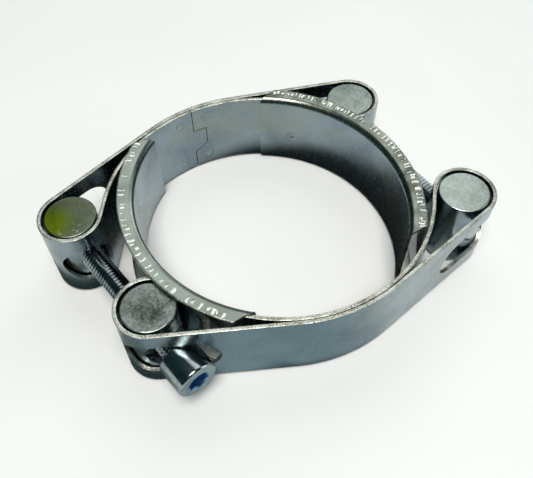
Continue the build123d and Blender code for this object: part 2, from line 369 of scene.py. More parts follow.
@dataclass(frozen=True)
class ZincPlate(Finish):
    """Zinc electroplate with a blue passivation on cold-rolled steel strip.

    It gives the eye a soft blue-grey mirror with faint yellow-green clouds, hairline scratches
    from handling and a few dark scuffs.

    Attributes:
        name: Name of the material.
        light: Main colour.
        shade: Colour of the darker clouds.
        cast: Colour of the passivation's rare yellowish clouds.
        cloud: Size of a cloud in metres.
        roughness: Lowest and highest roughness.
        scuffs: Share of dark scuffs, from 0 to 1.
        waviness: Strength of the slow unevenness of the sheet.
        centre: Where the pattern starts, so that two pieces differ.
    """

    name: str = "zinc_plated_steel_strip"
    light: str = Tone.BLUE_STEEL.value
    shade: str = Tone.COOL_SHADE.value
    cast: str = Tone.OLIVE.value
    cloud: float = 14 * MM
    roughness: tuple[float, float] = (0.17, 0.34)
    scuffs: float = 0.6
    waviness: float = 0.35
    centre: tuple[float, float, float] = (0, 0, 0)

    def _look(self, tree: NodeTree) -> tuple[dict[str, float], dict[str, NodeSocket]]:
        """Fixed values and linked sockets of the surface's shader."""
        points = object_points(tree, Vector(self.centre))
        clouds = speckle(tree, points, self.cloud, 3, 0.5, 0.6)
        body = two_tone(tree, clouds, [(0.38, 0.0), (0.66, 1.0)], self.light, self.shade)
        film = speckle(tree, points, self.cloud * 1.7, 2, 0.5, 1.2)
        body = blend_colours(
            tree, ramp(tree, film, [(0.52, 0.0), (0.72, 0.55)]), body, linear(self.cast)
        )
        colour = self._scuffed(tree, points, body)
        grain = speckle(tree, points, 1.1 * MM, 4, 0.65)
        rough = remap(tree, weighed(tree, clouds, grain, 0.5), (0.3, 0.7), self.roughness)
        relief = self._relief(tree, points)
        return {"Metallic": 1.0}, {"Base Color": colour, "Roughness": rough, "Normal": relief}

    def _scuffed(self, tree: NodeTree, points: NodeSocket, body: NodeSocket) -> NodeSocket:
        """Lay small dark scuffs over the plating's colour, in a few patches only."""
        marks = speckle(tree, points, 1.6 * MM, 5, 0.72, 1.5)
        patches = speckle(tree, points, 11 * MM, 1, 0.5)
        marks = ramp(tree, marks, [(0.615, 0.0), (0.655, 1.0)])
        patches = ramp(tree, patches, [(0.55, 0.0), (0.63, self.scuffs)])
        share = arithmetic(tree, "MULTIPLY", marks, patches)
        return blend_colours(tree, share, body, linear(Tone.GRIME.value))

    def _relief(self, tree: NodeTree, points: NodeSocket) -> NodeSocket:
        """Slow waves of the sheet under fine grain and hairline scratches."""
        slow = bump(tree, speckle(tree, points, 9 * MM, 2, 0.4), self.waviness, 0.25 * MM)
        lines = object_points(tree, Vector(self.centre), 0.5)
        scratch = add_node(
            tree,
            "TexWave",
            {"wave_type": "BANDS", "bands_direction": "DIAGONAL"},
            {"Scale": 1 / (24 * MM), "Distortion": 26.0, "Detail": 3.0, "Detail Scale": 0.35},
            {"Vector": lines},
        ).outputs[1]
        scratch = ramp(tree, scratch, [(0.0, 0.0), (0.012, 1.0)])
        fine = speckle(tree, points, 0.55 * MM, 3, 0.6)
        height = arithmetic(tree, "ADD", arithmetic(tree, "MULTIPLY", scratch, 0.35), fine)
        return bump(tree, height, 0.06, 0.05 * MM, slow)


@dataclass(frozen=True)
class ShearedEdge(Finish):
    """Cut edge of plated strip: a torn, glittering line, warmer than the flats.

    Attributes:
        name: Name of the material.
        grit: Size of one torn facet in metres; real ones are half as big, too fine to show.
    """

    name: str = "zinc_plated_sheared_edge"
    grit: float = 0.42 * MM

    def _look(self, tree: NodeTree) -> tuple[dict[str, float], dict[str, NodeSocket]]:
        """Fixed values and linked sockets of the surface's shader."""
        points = object_points(tree)
        facets = speckle(tree, points, self.grit, 2, 0.6)
        patches = speckle(tree, points, 3.5 * MM, 2, 0.5)
        share = weighed(tree, facets, patches, 0.6)
        stops = [(0.42, 0.0), (0.6, 1.0)]
        colour = two_tone(tree, share, stops, Tone.WARM_EDGE.value, Tone.DULL_EDGE.value)
        relief = bump(tree, facets, 0.75, 0.12 * MM)
        return {"Metallic": 1.0, "Roughness": 0.36}, {"Base Color": colour, "Normal": relief}


@dataclass(frozen=True)
class BarEnd(Finish):
    """Plated end of a sawn and turned bar: grainy, mottled and pale.

    Attributes:
        name: Name of the material.
        centre: Middle of the upper face, in metres.
        turned: Strength of the turning tool's rings, from 0 to 1.
        film: How strong the yellow-green passivation film is, from 0 to 1.
        dark_middle: How much darker the face is towards its middle, from 0 to 1.
        contrast: Half width of the noise band that goes from pale to dark; small is harsh.
        light: Colour of the pale grains.
        shade: Colour of the dark grains.
    """

    name: str
    centre: tuple[float, float, float]
    turned: float = 0.1
    film: float = 0.0
    dark_middle: float = 0.0
    contrast: float = 0.12
    light: str = Tone.BAR_END.value
    shade: str = Tone.BAR_SHADE.value

    def _look(self, tree: NodeTree) -> tuple[dict[str, float], dict[str, NodeSocket]]:
        """Fixed values and linked sockets of the surface's shader."""
        points = object_points(tree, Vector(self.centre))
        grain = speckle(tree, points, 0.8 * MM, 5, 0.75)
        clouds = speckle(tree, points, 3.6 * MM, 3, 0.6, 0.8)
        share = weighed(tree, grain, clouds, 0.6)
        # darker towards the face's middle
        if self.dark_middle:
            share = arithmetic(tree, "ADD", share, self._patch(tree, (0.6, -0.8), 5.0, self.dark_middle))
        stops = [(0.5 - self.contrast, 0.0), (0.5 + self.contrast, 1.0)]
        colour = two_tone(tree, share, stops, self.light, self.shade)
        if self.film:
            olive = self._patch(tree, (0, 0), 10.0, self.film * 0.9)
            colour = blend_colours(tree, olive, colour, linear(Tone.FILM_OLIVE.value))
            green = self._patch(tree, (-5.5, -0.5), 6.5, self.film)
            colour = blend_colours(tree, green, colour, linear(Tone.FILM_GREEN.value))
            flecks = ramp(tree, speckle(tree, points, 1.4 * MM, 3, 0.6), [(0.6, 0.0), (0.62, 1.0)])
            flecks = arithmetic(tree, "MULTIPLY", flecks, self._patch(tree, (-1, -4), 2.5, 0.9))
            colour = blend_colours(tree, flecks, colour, linear(Tone.FILM_FLECK.value))
        rings = add_node(
            tree,
            "TexWave",
            {"wave_type": "RINGS", "rings_direction": "Z"},
            {"Scale": 1 / (2.6 * MM), "Distortion": 1.2, "Detail": 2.0, "Detail Scale": 2.0},
            {"Vector": points},
        ).outputs[1]
        height = arithmetic(tree, "ADD", arithmetic(tree, "MULTIPLY", rings, self.turned), grain)
        pits = ramp(tree, speckle(tree, points, 0.9 * MM, 2, 0.5), [(0.28, 0.0), (0.36, 1.0)])
        height = arithmetic(tree, "ADD", height, arithmetic(tree, "MULTIPLY", pits, 0.5))
        relief = bump(tree, height, 0.5, 0.1 * MM)
        return {"Metallic": 1.0, "Roughness": 0.32}, {"Base Color": colour, "Normal": relief}

    def _patch(
        self, tree: NodeTree, aside: tuple[float, float], radius: float, strength: float
    ) -> NodeSocket:
        """Share of a soft, ragged round patch on the upper face.

        Args:
            tree: The tree that the nodes join.
            aside: Where it lies from the axis, in millimetres.
            radius: Its radius in millimetres.
            strength: The share at its middle.

        Returns:
            The share's socket.
        """
        middle = Vector(self.centre) + Vector((*aside, 0)) * MM
        points = object_points(tree, middle)
        wander = speckle(tree, points, 3 * MM, 3, 0.6)
        wander = arithmetic(tree, "MULTIPLY", wander, 3 * MM)
        away = arithmetic(tree, "ADD", distance(tree, points), wander)
        fade = (radius * 0.6 * MM, (radius + 3) * MM)
        return remap(tree, away, fade, (strength, 0.0), smooth=True)


@dataclass(frozen=True)
class RolledThread(Finish):
    """Zinc-plated rolled thread and turned head of a cap screw: bright, slightly blue.

    Attributes:
        name: Name of the material.
        colour: Main colour.
        shade: Colour of the clouds.
        roughness: Lowest and highest roughness.
    """

    name: str = "zinc_plated_screw"
    colour: str = "#AEB4B6"
    shade: str = "#838D92"
    roughness: tuple[float, float] = (0.09, 0.2)

    def _look(self, tree: NodeTree) -> tuple[dict[str, float], dict[str, NodeSocket]]:
        """Fixed values and linked sockets of the surface's shader."""
        points = object_points(tree)
        clouds = speckle(tree, points, 5 * MM, 3, 0.6)
        colour = two_tone(tree, clouds, [(0.4, 0.0), (0.62, 1.0)], self.colour, self.shade)
        rough = remap(tree, clouds, (0.3, 0.7), self.roughness)
        relief = bump(tree, speckle(tree, points, 0.5 * MM, 3, 0.6), 0.18, 0.04 * MM)
        return {"Metallic": 1.0}, {"Base Color": colour, "Roughness": rough, "Normal": relief}


@dataclass(frozen=True)
class PaintedBoard(Finish):
    """Matt off-white board that the clamp lies on.

    Attributes:
        name: Name of the material.
        colour: Its paint.
        shade: Colour of the paint's faint clouds.
    """

    name: str = "matt_painted_board"
    colour: str = "#F2F2F0"
    shade: str = "#E9E9E7"

    def _look(self, tree: NodeTree) -> tuple[dict[str, float], dict[str, NodeSocket]]:
        """Fixed values and linked sockets of the surface's shader."""
        points = object_points(tree)
        clouds = speckle(tree, points, 60 * MM, 2)
        colour = two_tone(tree, clouds, [(0.3, 0.0), (0.7, 0.25)], self.colour, self.shade)
        return {"Roughness": 0.85}, {"Base Color": colour}


@dataclass(frozen=True)
class PaintedShadeCard(Finish):
    """Card with dark and grey patches, which only the metal reflects.

    Its dark patches are painted shade: they stand for the shaded floor inside the ring, at the feet
    of the loops and between the legs, and the metal shows them as painted reflections of shade.

    Attributes:
        name: Name of the material.
        ground: Colour between the patches.
        patches: Colour, centre, radius and fade of each patch, from the lowest up, in metres.
    """

    name: str = "painted_shade_reflection_card"
    ground: str = "#F2F2F0"
    # painted shade: the dark patches darken what the metal reflects at the feet of the walls and
    # inside the ring
    patches: tuple[tuple[str, tuple[float, float], float, float], ...] = (
        ("#B4C5C6", (-22 * MM, -46 * MM), 34 * MM, 34 * MM),
        ("#7A8985", (-58 * MM, -25 * MM), 12 * MM, 10 * MM),
        ("#35474A", (-43.2 * MM, -21.3 * MM), 13 * MM, 4 * MM),
        ("#3B4A44", (-53.6 * MM, 12.0 * MM), 13.5 * MM, 4 * MM),
        ("#161C19", (-32.5 * MM, -28.5 * MM), 4.6 * MM, 2 * MM),
        ("#161C19", (-2 * MM, 0), 42 * MM, 3 * MM),
        ("#F2F2F0", (-16 * MM, 2 * MM), 33 * MM, 7 * MM),
    )

    def _look(self, tree: NodeTree) -> tuple[dict[str, float], dict[str, NodeSocket]]:
        """Fixed values and linked sockets of the surface's shader."""
        colour: Any = linear(self.ground)
        for tone, (x, y), radius, fade in self.patches:
            points = object_points(tree, Vector((x, y, CAD_BOX[0][2])))
            rim = (radius - fade / 2, radius + fade / 2)
            share = remap(tree, distance(tree, points), rim, (1.0, 0.0), smooth=True)
            colour = blend_colours(tree, share, colour, linear(tone))
        return {"Roughness": 0.9}, {"Base Color": colour}


# --- meshes ----------------------------------------------------------------------------------


def finish_mesh(
    name: str, work: BMesh, materials: Sequence[Material], sharp: float = 35.0
) -> Object:
    """Turn a bmesh into an object at the origin, smooth but for its sharp edges.

    Args:
        name: The object's name.
        work: The bmesh, in the clamp's frame; it is freed.
        materials: One per material index.
        sharp: Edges with more than this angle between their faces stay sharp, in degrees.

    Returns:
        The object.
    """
    mesh = bpy.data.meshes.new(name)
    work.to_mesh(mesh)
    work.free()
    made = bpy.data.objects.new(name, mesh)
    bpy.context.scene.collection.objects.link(made)
    for material in materials:
        mesh.materials.append(material)
    mesh.shade_smooth()
    mesh.set_sharp_from_angle(angle=math.radians(sharp))
    return made


def merged_copy(node_name: str, flat_within: float = 0.4) -> BMesh:
    """Copy a CAD node's mesh, merge its loose triangles and join its flat faces.

    Args:
        node_name: The node.
        flat_within: Faces closer to flat than this many degrees become one.

    Returns:
        The new bmesh.
    """
    work = bmesh.new()
    work.from_mesh(frame["nodes"][node_name].data)
    bmesh.ops.remove_doubles(work, verts=work.verts, dist=0.002 * MM)
    bmesh.ops.dissolve_limit(
        work,
        angle_limit=math.radians(flat_within),
        verts=work.verts,
        edges=work.edges,
        delimit={"NORMAL"},
    )
    for face in work.faces:
        face.material_index = 0
    return work


def baked(piece: Object) -> Object:
    """Make a piece's modifiers part of its mesh.

    Args:
        piece: The piece.

    Returns:
        The same piece, with no modifiers.
    """
    graph = bpy.context.evaluated_depsgraph_get()
    mesh = bpy.data.meshes.new_from_object(piece.evaluated_get(graph))
    piece.modifiers.clear()
    old = piece.data
    piece.data = mesh
    mesh.name = piece.name
    bpy.data.meshes.remove(old)
    return piece


def carve(piece: Object, cutters: Sequence[BMesh], sharp: float = 35.0) -> None:
    """Cut closed shapes out of a piece.

    Args:
        piece: The piece.
        cutters: Closed bmeshes in the clamp's frame; they are freed.
        sharp: Edges with more than this angle between their faces stay sharp, in degrees.
    """
    tools = []
    for cutter in cutters:
        tool = finish_mesh("cutter", cutter, list(piece.data.materials))
        cut = piece.modifiers.new("cut", "BOOLEAN")
        cut.operation = "DIFFERENCE"
        cut.solver = "EXACT"
        cut.object = tool
        tools.append(tool)
    baked(piece)
    for tool in tools:
        bpy.data.objects.remove(tool)
    piece.data.shade_smooth()
    piece.data.set_sharp_from_angle(angle=math.radians(sharp))


def rounded(
    work: BMesh, geom: list[Any], radius: float, segments: int, affect: str = "VERTICES"
) -> None:
    """Round off corners of a section, or edges of a solid.

    Args:
        work: The bmesh.
        geom: The corners or edges.
        radius: How far the rounding starts from them, in metres.
        segments: Steps of the rounding.
        affect: Blender's name of what is rounded.
    """
    bmesh.ops.bevel(
        work, geom=geom, offset=radius, offset_type="OFFSET", segments=segments, profile=0.5,
        affect=affect, material=-1,
    )


def turned(work: BMesh, degrees: float) -> None:
    """Turn a whole bmesh about Z."""
    turn = Matrix.Rotation(math.radians(degrees), 3, "Z")
    bmesh.ops.rotate(work, verts=work.verts, cent=(0, 0, 0), matrix=turn)


def cut_off(work: BMesh, point: Sequence[float], outward: Sequence[float]) -> list[BMFace]:
    """Cut a bmesh off at a plane and close the cut.

    Args:
        work: The bmesh.
        point: A point on the plane.
        outward: The plane's normal, towards what goes.

    Returns:
        The faces that close it.
    """
    cut = bmesh.ops.bisect_plane(
        work, geom=work.verts[:] + work.edges[:] + work.faces[:], dist=ON_PLANE,
        plane_co=point, plane_no=outward, clear_outer=True,
    )
    rim = [e for e in cut["geom_cut"] if isinstance(e, BMEdge)]
    return bmesh.ops.contextual_create(work, geom=rim)["faces"]


def cone(low: float, high: float, depth: float, segments: int, place: Matrix) -> BMesh:
    """Closed cone or cylinder about its own Z.

    Args:
        low: Radius of the end towards -Z.
        high: Radius of the end towards +Z.
        depth: Its length.
        segments: Sides round it.
        place: Where its middle goes.

    Returns:
        The new bmesh.
    """
    work = bmesh.new()
    bmesh.ops.create_cone(
        work, cap_ends=True, segments=segments, radius1=low, radius2=high, depth=depth,
        matrix=place,
    )
    return work


def centre_of(node_name: str) -> Vector:
    """Middle of a CAD node's box."""
    low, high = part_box(node_name)
    return (low + high) / 2


def joint(name: str) -> dict[str, Any]:
    """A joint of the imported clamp, by its name."""
    return next(j for j in frame["joints"] if j["name"] == name)


@dataclass
class Half:
    """Where one half of the clamp lies, found from its two pins.

    Attributes:
        plain: Node of the plain pin, on the half's +X side.
        barrel: Node of the threaded pin, on its -X side.
        pin_angle: Angle of a pin above the line that parts the halves, in degrees.
    """

    plain: str
    barrel: str
    pin_angle: float = 26.2
    place: Matrix = field(init=False)

    def __post_init__(self) -> None:
        """Work out the matrix from the half's own frame to the clamp's."""
        right, left = centre_of(self.plain), centre_of(self.barrel)
        across = right - left
        across.z = 0
        rise = across.length / 2 * math.tan(math.radians(self.pin_angle))
        along = across.normalized()
        up = Vector((0, 0, 1)).cross(along)
        middle = (right + left) / 2 - up * rise
        turn = Matrix((along, up, Vector((0, 0, 1)))).transposed().to_4x4()
        self.place = Matrix.Translation((middle.x, middle.y, 0)) @ turn


@dataclass
class Band:
    """Folded strip of one half, one closed loop of sheet with rounded, torn edges.

    Attributes:
        node: CAD node that it stands for.
        body: Body that it rides on.
        half: The half that it belongs to.
    """

    node: str
    body: str
    half: Half
    ring_radius: float = 39.5 * MM
    thickness: float = 1.0 * MM
    layer_gap: float = 0.1 * MM
    pin_radius: float = 6.75 * MM
    pin_play: float = 0.5 * MM
    leg_slack: float = 0.42 * MM
    edge_radius: float = 0.14 * MM
    window_height: float = 12.4 * MM
    entry_lean: float = 3.0
    exit_start: float = 62.0
    exit_length: float = 9.8 * MM
    seam_angle: float = 89.6
    seam_tab: float = 5.8
    seam_gap: float = 0.25 * MM
    seam_heights: tuple[float, float, float] = (14.6 * MM, 8.6 * MM, 6.1 * MM)
    spot_radius: float = 1.33 * MM
    spot_spread: float = 6.0
    spot_from_edge: float = 3.6 * MM
    leg_columns: int = 8

    def __post_init__(self) -> None:
        """Work out the path of the strip's middle line from its sizes."""
        low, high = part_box(self.node)
        self.bottom, self.top = low.z, high.z
        self.inner = self.ring_radius + self.thickness / 2
        self.outer = self.inner + self.thickness + self.layer_gap
        self.loop = self.pin_radius + self.pin_play + self.thickness / 2
        reach = self.inner + self.loop + self.leg_slack
        angle = math.radians(self.half.pin_angle)
        self.loop_centre = Vector((reach * math.cos(angle), reach * math.sin(angle), 0))
        self.inner_leg = self.half.pin_angle + math.degrees(
            math.acos((self.inner + self.loop) / reach)
        )
        self.outer_leg = self.half.pin_angle + math.degrees(
            math.acos((self.outer - self.loop) / reach)
        )

    def _section(self, work: BMesh) -> list[BMFace]:
        """Draw the strip's section at the seam, its four corners rounded."""
        half, hold = self.thickness / 2, 0.45 * MM
        outline = [
            (-half, 0), (half, 0), (half, hold), (half, self.top - self.bottom - hold),
            (half, self.top - self.bottom), (-half, self.top - self.bottom),
            (-half, self.top - self.bottom - hold), (-half, hold),
        ]
        corners = [work.verts.new((self.inner + x, 0, self.bottom + z)) for x, z in outline]
        work.faces.new(corners)
        rounded(work, [corners[i] for i in (0, 1, 4, 5)], self.edge_radius, 3)
        turned(work, self.seam_angle)
        return list(work.faces)

    def _bend(
        self, work: BMesh, tip: list[Any], centre: Vector, degrees: float, step: float
    ) -> list[Any]:
        """Carry the strip's end round an arc.

        Args:
            work: The bmesh.
            tip: Geometry of the end.
            centre: Middle of the arc.
            degrees: Turn, positive anticlockwise from above.
            step: Degrees per column of faces.

        Returns:
            Geometry of the new end.
        """
        steps = max(1, round(abs(degrees) / step))
        return bmesh.ops.spin(
            work, geom=tip, cent=centre, axis=(0, 0, 1), angle=math.radians(degrees), steps=steps
        )["geom_last"]

    def _straight(self, work: BMesh, tip: list[Any], run: Vector) -> list[Any]:
        """Carry the strip's end straight on by a run, in equal lengths."""
        for _ in range(self.leg_columns):
            tip = bmesh.ops.extrude_face_region(work, geom=tip)["geom"]
            verts = [g for g in tip if isinstance(g, BMVert)]
            bmesh.ops.translate(work, vec=run / self.leg_columns, verts=verts)
        return tip

    def _fold(self, work: BMesh) -> None:
        """Fold the strip: ring, right loop, outer layer, left loop and back to the seam."""
        right = self.loop_centre
        left = Vector((-right.x, right.y, 0))
        section = self._section(work)
        tip = [*section, *section[0].edges, *section[0].verts]

        def spoke(angle: float) -> Vector:
            """Unit vector at an angle in degrees."""
            return Vector((math.cos(math.radians(angle)), math.sin(math.radians(angle)), 0))

        inner, outer = spoke(self.inner_leg), spoke(self.outer_leg)
        fold_in = (right - inner * self.loop) - inner * self.inner
        fold_out = outer * self.outer - (right + outer * self.loop)
        round_loop = 180 + self.outer_leg - self.inner_leg
        tip = self._bend(work, tip, Vector(), self.inner_leg - self.seam_angle, 1.0)
        tip = self._straight(work, tip, fold_in)
        tip = self._bend(work, tip, right, round_loop, 3.0)
        tip = self._straight(work, tip, fold_out)
        tip = self._bend(work, tip, Vector(), 180 - 2 * self.outer_leg, 1.0)
        tip = self._straight(work, tip, Vector((fold_out.x, -fold_out.y, 0)))
        tip = self._bend(work, tip, left, round_loop, 3.0)
        tip = self._straight(work, tip, Vector((fold_in.x, -fold_in.y, 0)))
        tip = self._bend(work, tip, Vector(), self.inner_leg - 180 + self.seam_angle, 1.0)
        ends = [g for g in tip if isinstance(g, BMFace)]
        ends += [f for f in section if f.is_valid]
        bmesh.ops.delete(work, geom=ends, context="FACES_ONLY")
        bmesh.ops.remove_doubles(work, verts=work.verts, dist=0.01 * MM)
        bmesh.ops.recalc_face_normals(work, faces=work.faces)

    def _bar(self, angle: float, shift: Vector, length: float, radius: float) -> BMesh:
        """Round cutter along X from a loop's middle, turned and shifted with it."""
        place = Matrix.Translation((length / 2, 0, 0)) @ Matrix.Rotation(math.pi / 2, 4, "Y")
        cutter = cone(radius, radius, length, 48, place)
        bmesh.ops.translate(cutter, vec=shift, verts=cutter.verts)
        turned(cutter, angle)
        return cutter

    def _window(self, bars: Sequence[BMesh]) -> BMesh:
        """Join the round ends of a window into one cutter with straight sides between them."""
        cutter = bmesh.new()
        for bar in bars:
            for vert in bar.verts:
                cutter.verts.new(vert.co)
            bar.free()
        wrapped = bmesh.ops.convex_hull(cutter, input=cutter.verts)
        spare = {g for g in wrapped["geom_interior"] if isinstance(g, BMVert)}
        bmesh.ops.delete(cutter, geom=list(spare), context="VERTS")
        return cutter

    def _windows(self) -> list[BMesh]:
        """Cutters of the entry and exit windows of both loops, in the half's frame."""
        reach = self.loop + 2 * self.thickness
        radius = self.window_height / 2
        middle = (self.top + self.bottom) / 2
        nothing = Vector()
        along = Vector((0, self.exit_length, 0))
        on_loop = [
            self._bar(angle, nothing, reach, radius)
            for angle in (self.exit_start, self.outer_leg)
        ]
        on_leg = [self._bar(self.outer_leg, shift, reach, radius) for shift in (nothing, along)]
        cutters = [
            self._bar(270 + self.entry_lean, nothing, reach, radius),
            self._window(on_loop),
            self._window(on_leg),
        ]
        for cutter in cutters:
            place = self.loop_centre + Vector((0, 0, middle))
            bmesh.ops.translate(cutter, vec=place, verts=cutter.verts)
        mirrored = []
        for cutter in cutters:
            other = cutter.copy()
            bmesh.ops.scale(other, vec=(-1, 1, 1), verts=other.verts)
            bmesh.ops.reverse_faces(other, faces=other.faces)
            mirrored.append(other)
        return cutters + mirrored

    def _spots(self) -> list[BMesh]:
        """Cutters of the spot welds' holes through the inner layer."""
        heights = (self.bottom + self.spot_from_edge, self.top - self.spot_from_edge)
        cutters = []
        for side in (-1, 1):
            for height in heights:
                start = Vector((self.ring_radius - 2 * self.thickness, 0, height))
                angle = self.seam_angle + side * self.spot_spread
                length = 3 * self.thickness + self.layer_gap / 2
                cutters.append(self._bar(angle, start, length, self.spot_radius))
        return cutters

    def _seam(self) -> list[BMesh]:
        """Thin cutters, end to end, that part the strip's ends along a stepped line."""
        tab_top, tab_side, tab_foot = self.seam_heights
        tab = -math.radians(self.seam_tab) * self.inner
        path = [
            (0, self.top + self.thickness), (0, self.bottom + tab_top),
            (tab, self.bottom + tab_top), (tab, self.bottom + tab_side),
            (0, self.bottom + tab_foot), (0, self.bottom - self.thickness),
        ]
        near = self.ring_radius - self.thickness
        depth = self.ring_radius + self.thickness + self.layer_gap / 4 - near
        cutters = []
        for (x0, z0), (x1, z1) in zip(path, path[1:]):
            aside = self.seam_angle + math.degrees((x0 + x1) / 2 / self.inner)
            length = math.hypot(x1 - x0, z1 - z0) + self.seam_gap
            cutter = bmesh.new()
            bmesh.ops.create_cube(
                cutter,
                size=1,
                matrix=Matrix.Rotation(math.radians(aside), 4, "Z")
                @ Matrix.Translation((near + depth / 2, 0, (z0 + z1) / 2))
                @ Matrix.Rotation(math.atan2(x0 - x1, z1 - z0), 4, "X")
                @ Matrix.Diagonal((depth, self.seam_gap, length, 1)),
            )
            cutters.append(cutter)
        return cutters

    def build(self, plate: Material, edge: Material) -> Object:
        """Make the strip.

        Args:
            plate: Finish of the broad faces.
            edge: Finish of the cut edges.

        Returns:
            The finished piece.
        """
        work = bmesh.new()
        self._fold(work)
        for face in work.faces:
            face.material_index = 1 if abs(face.normal.z) > 0.3 else 0
        work.transform(self.half.place)
        piece = finish_mesh(self.node + "_strip", work, [plate, edge])
        cutters = self._windows() + self._spots() + self._seam()
        for cutter in cutters:
            cutter.transform(self.half.place)
            for face in cutter.faces:
                face.material_index = 1
        carve(piece, cutters)
        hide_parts(self.node)
        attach(piece, self.body)
        return piece


class Marking(Enum):
    """How strongly the press has marked a bridge's flanges: depth in metres and share of ticks."""

    LIGHT = (0.12 * MM, 0.75)
    STRONG = (0.20 * MM, 0.97)


class Face(IntEnum):
    """Material slots of a bridge."""

    WALL = 0
    FLANGE = 1
    EDGE = 2
    MARK = 3


@dataclass
class Bridge:
    """Curved channel across the gap between the halves, its flanges wrinkled by the press.

    Attributes:
        node: CAD node that it stands for.
        body: Body that it rides on.
        half: The half that it is welded to.
        marking: How strong the press marks are.
        seed: Start of the marks' random places.
        lean: How far round it is welded on, in degrees.
    """

    node: str
    body: str
    half: Half
    marking: Marking
    seed: int
    lean: float = 0.0
    inner_radius: float = 38.5 * MM
    thickness: float = 0.9 * MM
    flange_radius: float = 43.0 * MM
    inner_bend: float = 0.4 * MM
    outer_bend: float = 2.0 * MM
    rim: float = 0.27 * MM
    start: float = -46.0
    end: float = 59.5
    slant: float = 6.0
    past: float = 2.0
    flat_length: float = 1.2 * MM
    steps_per_degree: int = 4
    tick_pitch: float = 2.3
    weld_angle: float = 45.0
    weld_radius: float = 1.75 * MM
    weld_height: float = 10.55 * MM

    def _place(self) -> Matrix:
        """Matrix from the drawn channel to the clamp."""
        return self.half.place @ Matrix.Rotation(math.radians(self.lean), 4, "Z")

    def _height(self) -> float:
        """Full height of the channel."""
        low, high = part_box(self.node)
        return high.z - low.z

    def _section(self, work: BMesh) -> BMFace:
        """Draw the channel's section as one face, with its bends and rims rounded."""
        top = self._height()
        wall = self.inner_radius + self.thickness
        outline = [
            (self.inner_radius, 0), (self.flange_radius, 0),
            (self.flange_radius, self.thickness), (wall, self.thickness),
            (wall, top - self.thickness), (self.flange_radius, top - self.thickness),
            (self.flange_radius, top), (self.inner_radius, top),
        ]
        corners = [work.verts.new((r, 0, z)) for r, z in outline]
        work.faces.new(corners)
        rounds = (
            ((0, 7), self.outer_bend, 8),
            ((3, 4), self.inner_bend, 3),
            ((1, 2, 5, 6), self.rim, 2),
        )
        for picks, radius, segments in rounds:
            rounded(work, [corners[i] for i in picks], radius, segments)
        flat = [
            e for e in work.edges
            if e.calc_length() > self.flat_length
            and abs(e.verts[0].co.z - e.verts[1].co.z) < SAME_PLACE
        ]
        bmesh.ops.subdivide_edges(work, edges=flat, cuts=9)
        return next(iter(work.faces))

    def _ticks(self) -> list[tuple[float, float, float, float, float]]:
        """Angle, inner radius, outer radius, half width and depth of every press mark."""
        pick = random.Random(self.seed)
        depth, share = self.marking.value
        ticks = []
        angle = self.start + 3
        while angle < self.end - 2:
            if pick.random() < share:
                inner = self.inner_radius + self.outer_bend + pick.uniform(0.0, 0.5) * MM
                outer = min(inner + pick.uniform(1.2, 2.4) * MM, self.flange_radius - 0.3 * MM)
                wide = pick.uniform(0.26, 0.5) * MM
                ticks.append((angle, inner, outer, wide, depth * pick.uniform(0.5, 1.0)))
            angle += self.tick_pitch * pick.uniform(0.5, 1.4)
        return ticks

    def _press(self, work: BMesh) -> None:
        """Sink the press marks and slow wrinkles into both flanges, never above the sheet."""
        ticks = self._ticks()
        top = self._height()
        bright = set()
        for vert in work.verts:
            radius = math.hypot(vert.co.x, vert.co.y)
            outside = vert.co.z > top - SAME_PLACE or vert.co.z < SAME_PLACE
            if not outside or radius < self.inner_radius + 1.4 * MM:
                continue
            angle = math.degrees(math.atan2(vert.co.y, vert.co.x))
            wrinkle = noise.noise(Vector((angle * 0.55 + self.seed, radius / (2.2 * MM), 0)))
            sink = self.marking.value[0] * 0.30 * max(0.0, wrinkle)
            for tick_angle, inner, outer, wide, depth in ticks:
                skew = noise.noise(Vector((tick_angle, radius / MM, 3.0))) * 0.25 * MM
                aside = abs(math.radians(angle - tick_angle) * radius + skew) / wide
                ends = min(radius - inner, outer - radius) / (0.3 * MM)
                if aside < 1 and ends > 0:
                    sink = max(sink, depth * (1 - aside) * min(1.0, ends))
                    bright.add(vert)
            vert.co.z += sink if vert.co.z < top / 2 else -sink
        # faces in a press mark take the near-white mark finish, partly burnish and partly painted
        # highlight
        for face in work.faces:
            if face.material_index == Face.FLANGE and all(vert in bright for vert in face.verts):
                face.material_index = Face.MARK

    def _trim(self, work: BMesh) -> None:
        """Cut both ends of the channel on a slant, closing the cuts."""
        for angle, slant in ((self.end, self.slant), (self.start, -self.slant)):
            inner, rim = (
                Matrix.Rotation(math.radians(a), 3, "Z") @ Vector((r, 0, 0))
                for a, r in ((angle, self.inner_radius), (angle - slant, self.flange_radius))
            )
            outward = (rim - inner).normalized()
            normal = Vector((-outward.y, outward.x, 0)) * (1 if slant > 0 else -1)
            for face in cut_off(work, inner, normal):
                face.material_index = Face.EDGE

    def _weld_hole(self) -> BMesh:
        """Round cutter where the spot weld sits."""
        turn = Matrix.Rotation(math.radians(self.weld_angle), 4, "Z")
        spot = Matrix.Translation((self.inner_radius, 0, self.weld_height))
        place = self._place() @ turn @ spot @ Matrix.Rotation(math.pi / 2, 4, "Y")
        return cone(self.weld_radius, self.weld_radius, 4 * MM, 40, place)

